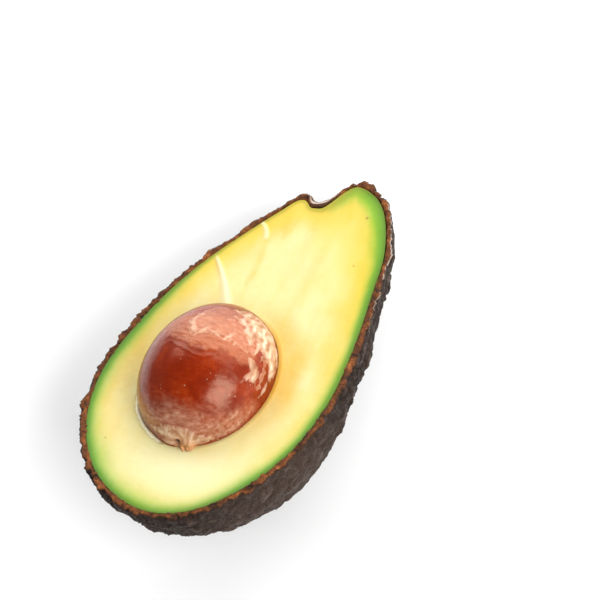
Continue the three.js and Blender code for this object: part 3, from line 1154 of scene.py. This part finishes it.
# %% Colours of the edge and the marks
GREENS = [(0.0, (0.028, 0.12, 0.001)), (0.35, (0.07, 0.25, 0.002)), (1.0, (0.17, 0.37, 0.006))]
GREENS_MM = 3.0  # from the skin to the palest of them
OLIVE_RIND = (0.36, 0.30, 0.015)
YELLOWING = (0.64, 0.47, 0.05)
RIDGE_CREAM = (0.74, 0.68, 0.42)
LIP_CREAM, LIP_LINE = (0.80, 0.75, 0.54), (0.30, 0.16, 0.05)
PAINTED_GAP_SHADOW = (0.45, 0.22, 0.06)
BRUISE = (0.22, 0.10, 0.02)
SPECKS = [((21.7, 53.9), 0.3), ((23.5, 39.0), 0.2), ((-19.0, -21.0), 0.18)]  # place, radius


def with_green_edge(paint, butter, neck_half):
    skin_mm = paint.stored("skin_mm")
    depth = paint.maths("SUBTRACT", skin_mm, paint.stored("solid_mm"))
    depth = paint.maths("DIVIDE", depth, paint.stored("fade_mm"))
    fine = patches(paint, 1.3, Detail=3.0, Stretch=(1.0, 0.35, 1.0))
    depth = paint.plus(depth, paint.scaled(fine, 0.10, -0.05))
    fade = paint.ramp(depth, [(0.0, 0.0), (0.3, 0.42), (0.6, 0.8), (1.0, 1.0)], "B_SPLINE")
    rind = paint.ramp(paint.maths("DIVIDE", skin_mm, GREENS_MM), GREENS)
    rind = paint.mix(paint.stored("olive"), rind, OLIVE_RIND)
    colour = paint.mix(fade, rind, butter)
    wide_depth = paint.times(depth, 0.4)
    yellowing = paint.ramp(wide_depth, [(0.02, 0.0), (0.2, 0.6), (1.0, 0.0)], "EASE")
    yellowing = paint.times(yellowing, paint.scaled(neck_half, 0.8, 0.2))
    return paint.mix(yellowing, colour, YELLOWING)


def with_marks(paint, colour):
    colour = paint.mix(paint.times(paint.stored("ridge"), 0.75), colour, RIDGE_CREAM)
    lip = paint.stored("lip")
    lip_line = paint.ramp(lip, [(0.12, 0.0), (0.22, 0.7), (0.34, 0.0)])
    colour = paint.mix(lip_line, colour, LIP_LINE)
    whole_lip = paint.ramp(lip, [(0.2, 0.0), (0.45, 1.0)])
    colour = paint.mix(paint.times(whole_lip, 0.85), colour, LIP_CREAM)
    # A painted shadow: a thin darker line in the narrow gap round the seed.
    gap_shadow = paint.ramp(paint.stored("seed_mm"), [(0.0, 0.8), (0.12, 0.6), (0.3, 0.0)])
    colour = paint.mix(gap_shadow, colour, PAINTED_GAP_SHADOW)
    for place, radius in SPECKS:
        colour = paint.mix(oval(paint, place, (radius, radius)), colour, BRUISE)
    return colour


# %% [markdown]
# ## The finish of the flesh
# Light goes a little way into pulp and comes out again nearby, which softens its shadows, so
# the shader gets a little subsurface scattering: much more would make it look like wax.

# %% Paint the flesh
def flesh_finish(paint):
    smear = patches(paint, 3.5, Detail=3.0, Stretch=(1.0, 0.22, 1.0))
    to_neck = paint.scaled(paint.stored("neck_mm"), 0.011, 0.25)
    neck_half = paint.ramp(to_neck, [(0.1, 0.0), (0.8, 1.0)], "EASE")
    butter = butter_colour(paint, smear, neck_half)
    return {
        "Base Color": with_marks(paint, with_green_edge(paint, butter, neck_half)),
        "Normal": paint.effect(GRAIN, Size=0.8, Contrast=1.0, Relief=0.05)["Normal"],
        "Roughness": 0.5,
        "Specular IOR Level": 0.22,
        "Subsurface Weight": 0.25,
        "Subsurface Radius": (1.0, 0.7, 0.2),
        "Subsurface Scale": MM,
    }


dress(pulp, "ripe flesh", flesh_finish)

# %% [markdown]
# ## The finish of the seed
# Bare seed is a deep glossy red brown, darker and lighter in slow streaks, with a dusty haze
# round the wide end. The film is a little paler, with a cream line where it tore. The thick
# coat is dry, tan and fibrous, so it is rough where the bare seed is smooth. Three materials
# would meet in hard seams; one material that fades between them by the masks doesn't.

# %% Colours of the seed
BARE = [(0.3, (0.12, 0.006, 0.001)), (0.5, (0.20, 0.014, 0.001)), (0.7, (0.33, 0.038, 0.004))]
HAZE = [(0.35, (0.40, 0.14, 0.07)), (0.7, (0.62, 0.34, 0.22))]
FILM = [(0.3, (0.34, 0.10, 0.05)), (0.5, (0.46, 0.18, 0.10)), (0.7, (0.60, 0.31, 0.19))]
PAPER = [(0.2, (0.34, 0.16, 0.08)), (0.5, (0.52, 0.31, 0.185)), (0.8, (0.68, 0.51, 0.37))]
BLOOM_AND_PAINTED_SHEEN = (0.48, 0.16, 0.07)
DUST = (0.60, 0.36, 0.24)
TORN_LINE, FOLD_LINE = (0.62, 0.40, 0.26), (0.62, 0.40, 0.27)
# The hole beside the nub is a real dent; its near black colour is painted shade inside it.
NUB_BROWN, PAINTED_HOLE_SHADE = (0.50, 0.23, 0.08), (0.03, 0.008, 0.003)
SMOOTH, DRY = 0.22, 0.55  # roughness of bare seed and of paper


def bare_colour(paint, vein, bloom_and_sheen):
    mottle = patches(paint, 6.0, Detail=4.0, Distortion=0.4)
    tone = paint.scaled(vein, 0.3, paint.scaled(mottle, 0.55, 0.07))
    # Over the top the seed is lightened towards orange: a paler coat, partly a painted sheen where the
    # back light reflects.
    colour = paint.mix(paint.times(bloom_and_sheen, 0.5), paint.ramp(tone, BARE), BLOOM_AND_PAINTED_SHEEN)
    haze = paint.times(paint.stored("haze"), paint.ramp(vein, [(0.3, 0.4), (0.7, 0.75)]))
    colour = paint.mix(haze, colour, paint.ramp(vein, HAZE))
    dust = paint.ramp(patches(paint, 0.8, Detail=1.0), [(0.75, 0.0), (0.78, 0.5)])
    return paint.mix(dust, colour, DUST)


def with_film(paint, colour, vein, fray, strands):
    film = paint.plus(paint.stored("film"), fray)
    cover = paint.ramp(film, [(0.0, 0.0), (0.25, 0.6), (1.0, 0.45)])
    colour = paint.mix(cover, colour, paint.ramp(vein, FILM))
    edge = [(0.38, 0.0), (0.50, 0.9), (0.72, 0.5), (1.0, 0.0)]
    torn = paint.times(
        paint.ramp(paint.plus(film, 0.5), edge), paint.ramp(strands, [(0.25, 0.1), (0.6, 0.45)])
    )
    colour = paint.mix(torn, colour, TORN_LINE)
    fold = paint.times(paint.stored("fold"), paint.ramp(vein, [(0.35, 0.35), (0.65, 0.8)]))
    return paint.mix(fold, colour, FOLD_LINE)


# %% Paint the seed
def seed_finish(paint):
    vein = patches(paint, 0.9, Detail=6.0, Roughness=0.65, Stretch=(0.4, 1.0, 1.0))
    fibre = patches(paint, 0.6, Detail=5.0, Roughness=0.65)
    fray = paint.scaled(fibre, 0.5, -0.25)
    strands = paint.scaled(fibre, 0.35, paint.scaled(paint.stored("fibres"), 0.8, -0.08))
    bloom_and_sheen = paint.stored("bloom_and_sheen")
    colour = with_film(paint, bare_colour(paint, vein, bloom_and_sheen), vein, fray, strands)
    thick = paint.times(paint.plus(paint.stored("paper"), fray), 0.5)
    paper = paint.ramp(thick, [(0.0, 0.0), (0.2, 0.5), (0.85, 1.0)])
    colour = paint.mix(paper, colour, paint.ramp(strands, PAPER))
    colour = paint.mix(paint.stored("nub"), colour, NUB_BROWN)
    creased = paint.times(vein, paint.scaled(bloom_and_sheen, 1.2, 0.5))
    rough_height = paint.plus(creased, paint.times(fibre, paper))
    return {
        # Painted shade: the hole beside the nub is coloured near black.
        "Base Color": paint.mix(paint.stored("hole"), colour, PAINTED_HOLE_SHADE),
        "Roughness": paint.mix(paper, SMOOTH, DRY),
        "Normal": paint.bump(rough_height, 0.2 * MM, 0.5),
        "IOR": 1.52,
        "Specular Tint": (1.0, 0.70, 0.50),
    }


dress(seed, "seed and coat", seed_finish)

# %% [markdown]
# ## The stage and the lights
# The half lies on a plain white floor under soft studio light. A wall of light behind it makes
# the floor white and the shadows soft, a softbox on the right gives the seed its highlight,
# and a weak fill on the left lifts the shadow. Point lamps would give hard shadows and specks.

# %% Floor
FLOOR_HALF = 6.0  # metres


def make_floor():
    mesh = bpy.data.meshes.new("floor")
    s = FLOOR_HALF
    mesh.from_pydata([(-s, -s, 0), (s, -s, 0), (s, s, 0), (-s, s, 0)], [], [(0, 1, 2, 3)])
    floor = bpy.data.objects.new("floor", mesh)
    bpy.context.scene.collection.objects.link(floor)
    white = {"Base Color": 0.93, "Roughness": 0.8, "Specular IOR Level": 0.2}
    dress(floor, "white floor", lambda paint: white)


make_floor()

# %% Softboxes
def soft_light(name, way, distance, size, power, shines=True):
    """A rectangular softbox that lies in a direction out of the seed's middle and faces it."""
    data = bpy.data.lights.new(name, "AREA")
    data.shape, data.size, data.size_y, data.energy = "RECTANGLE", *size, power
    lamp = bpy.data.objects.new(name, data)
    bpy.context.scene.collection.objects.link(lamp)
    out = Vector(way).normalized()
    lamp.location = seed_middle + out * distance
    lamp.rotation_mode = "QUATERNION"
    lamp.rotation_quaternion = out.to_track_quat("Z", "Y")
    lamp.visible_camera = False
    lamp.visible_glossy = shines
    print(name, "stands at", [round(place, 2) for place in lamp.location])


soft_light("back light wall", (0.02, 0.88, 0.47), 1.3, (2.9, 1.3), 37)
soft_light("right softbox", (0.78, -0.19, 0.60), 1.0, (0.68, 0.65), 11.5)
soft_light("left fill", (-0.80, -0.10, 0.60), 1.2, (0.8, 0.8), 3.5, shines=False)

# %% Studio walls
# Brightness by the height of a direction, 0 at the horizon and 1 overhead, and by its side.
WALLS = [(0.0, 0.52), (0.52, 0.52), (0.76, 0.1)]
DARK_SIDE = [(0.06, 0.4), (0.3, 1.0)]  # the wall on the left is darker


def make_studio():
    world = bpy.data.worlds.new("studio")
    bpy.context.scene.world = world
    world.use_nodes = True
    paint = Palette(world.node_tree)
    way = paint.add("ShaderNodeTexCoord", {}).outputs["Generated"]
    part = paint.add("ShaderNodeSeparateXYZ", {0: way}).outputs
    by_height = paint.ramp(part["Z"], WALLS, "EASE")
    by_side = paint.ramp(paint.scaled(part["X"], 0.5, 0.5), DARK_SIDE, "EASE")
    background = world.node_tree.nodes["Background"]
    paint.join(paint.mix(1.0, by_height, by_side, blend="MULTIPLY"), background.inputs["Color"])
    background.inputs["Strength"].default_value = 1.0


make_studio()
bpy.context.scene.view_settings.view_transform = "Standard"

# %% [markdown]
# ## The camera
# The camera looks down on the cut face through a long lens. It could be aimed with a
# constraint, but its direction is easier to state from the face itself: an azimuth, a height
# above the face and a roll. Then it is moved aside, so that the seed is left of the centre.

# %% Camera
CAMERA_DISTANCE = 0.6392
CAMERA_AZIMUTH = math.radians(36.93)  # from straight behind the blossom end, towards +X
CAMERA_HEIGHT = math.radians(49.96)  # above the cut face
CAMERA_ROLL = math.radians(20.85)
SEED_RIGHT, SEED_DOWN = -0.02176, 0.01899  # metres, from the centre of the frame
LENS, SENSOR = 160.3, 36.0


def make_camera():
    data = bpy.data.cameras.new("camera")
    data.lens, data.sensor_width = LENS, SENSOR
    data.clip_start, data.clip_end = 0.05, 30.0
    camera = bpy.data.objects.new("camera", data)
    bpy.context.scene.collection.objects.link(camera)
    level = math.cos(CAMERA_HEIGHT)
    back = (
        across * math.sin(CAMERA_AZIMUTH) * level
        - neckward * math.cos(CAMERA_AZIMUTH) * level
        + up * math.sin(CAMERA_HEIGHT)
    )
    right = up.cross(back).normalized()
    above = back.cross(right)
    turned_right = right * math.cos(CAMERA_ROLL) - above * math.sin(CAMERA_ROLL)
    turned_up = back.cross(turned_right)
    off_centre = turned_up * SEED_DOWN - turned_right * SEED_RIGHT
    camera.location = seed_middle + off_centre + back * CAMERA_DISTANCE
    camera.rotation_mode = "QUATERNION"
    camera.rotation_quaternion = Matrix((turned_right, turned_up, back)).transposed().to_quaternion()
    bpy.context.scene.camera = camera
    print("the camera stands at", [round(place, 3) for place in camera.location])


make_camera()
